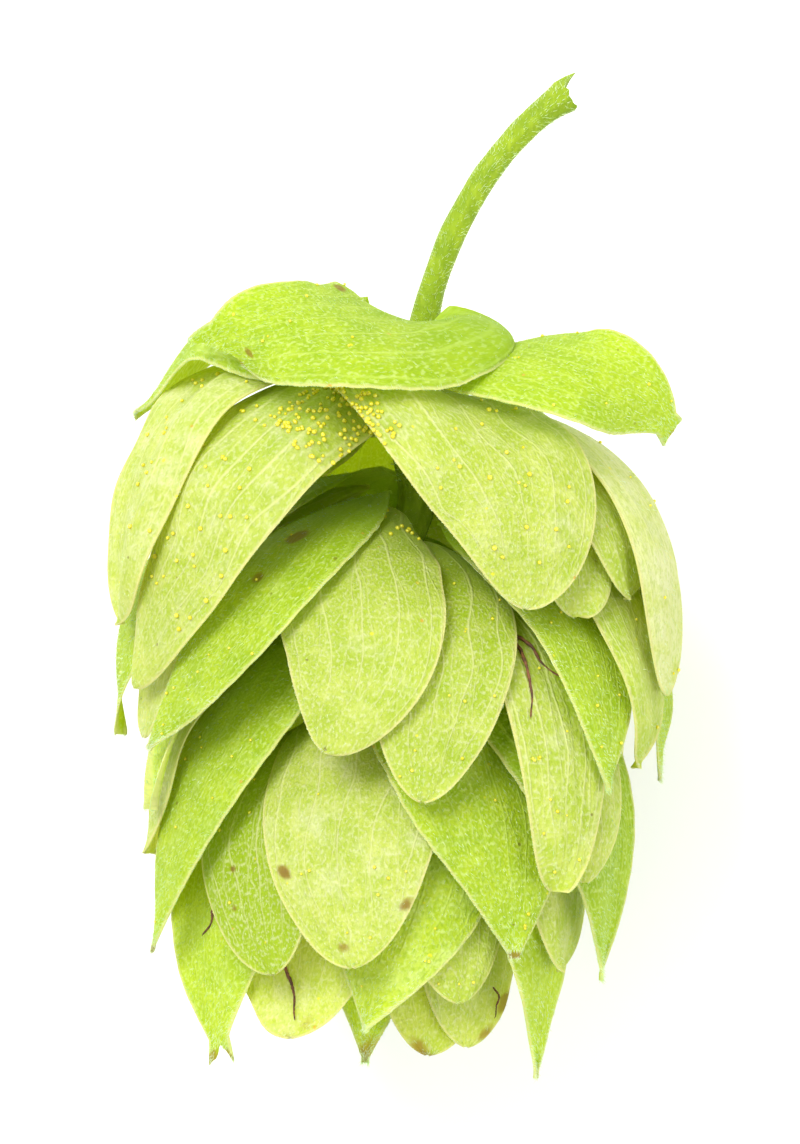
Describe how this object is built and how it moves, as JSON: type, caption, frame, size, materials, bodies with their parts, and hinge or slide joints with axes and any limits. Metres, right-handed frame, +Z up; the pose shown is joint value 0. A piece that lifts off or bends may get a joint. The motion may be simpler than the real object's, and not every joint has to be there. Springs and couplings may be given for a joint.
{
  "type": "hop cone",
  "caption": "Hop cone lying on its side with its short cut stalk: overlapping papery bracts and bracteoles on a central strig.",
  "frame": {"origin": "on the surface that the cone lies on, under the middle of the whole object's box", "axes": "+Y from the cone's lower end towards the stalk's cut end, +X to the right as seen from above, +Z up"},
  "size_m": [0.0228, 0.0396, 0.0212],
  "materials": {
    "bract": "thin green leaf, finely hairy, matt",
    "bracteole": "thin pale yellow-green leaf with lighter veins, matt",
    "stem": "green hairy plant stem, matt"
  },
  "bodies": {
    "root": {"broad_bract_left": "bract", "broad_bract_right": "bract", "brown_bracteole_right": "bracteole", "cap_bract_left": "bract", "cap_bract_right": "bract", "centre_bracteole_left": "bracteole", "centre_bracteole_right": "bracteole", "curled_bracteole_left": "bracteole", "dark_bract_right": "bract", "edge_bracteole_left": "bracteole", "edge_bracteole_right": "bracteole", "far_bracteole_left": "bracteole", "folded_bracteole_left": "bracteole", "forked_bract_left": "bract", "great_bracteole": "bracteole", "inner_bracteole_left": "bracteole", "inner_bracteole_right": "bracteole", "last_bract": "bract", "last_bracteole_right": "bracteole", "long_bract_right": "bract", "long_bracteole_left": "bracteole", "lower_bracteole_left": "bracteole", "middle_bract_left": "bract", "middle_bract_right": "bract", "middle_bracteole_right": "bracteole", "narrow_bracteole_right": "bracteole", "pale_bracteole_left": "bracteole", "point_bract_left": "bract", "point_bract_right": "bract", "rolled_bract_left": "bract", "second_bracteole_right": "bracteole", "shoulder_bracteole_right": "bracteole", "small_bracteole_right": "bracteole", "stem": "stem", "strip_bracteole_right": "bracteole", "tip_bract": "bract", "tucked_bracteole_right": "bracteole", "under_bract_1_2": "bract", "under_bract_2_1": "bract", "under_bract_2_3": "bract", "under_bract_3_2": "bract", "under_bract_4_1": "bract", "under_bract_4_3": "bract", "under_bract_5_2": "bract", "under_bract_6_1": "bract", "under_bract_6_3": "bract", "under_bracteole_1_1": "bracteole", "under_bracteole_1_3": "bracteole", "under_bracteole_2_2": "bracteole", "under_bracteole_2_4": "bracteole", "under_bracteole_3_1": "bracteole", "under_bracteole_3_3": "bracteole", "under_bracteole_4_2": "bracteole", "under_bracteole_4_4": "bracteole", "under_bracteole_5_1": "bracteole", "under_bracteole_5_3": "bracteole", "under_bracteole_6_2": "bracteole", "under_bracteole_6_4": "bracteole", "wing_bract_left": "bract", "wing_bracteole_right": "bracteole"}
  },
  "joints": []
}
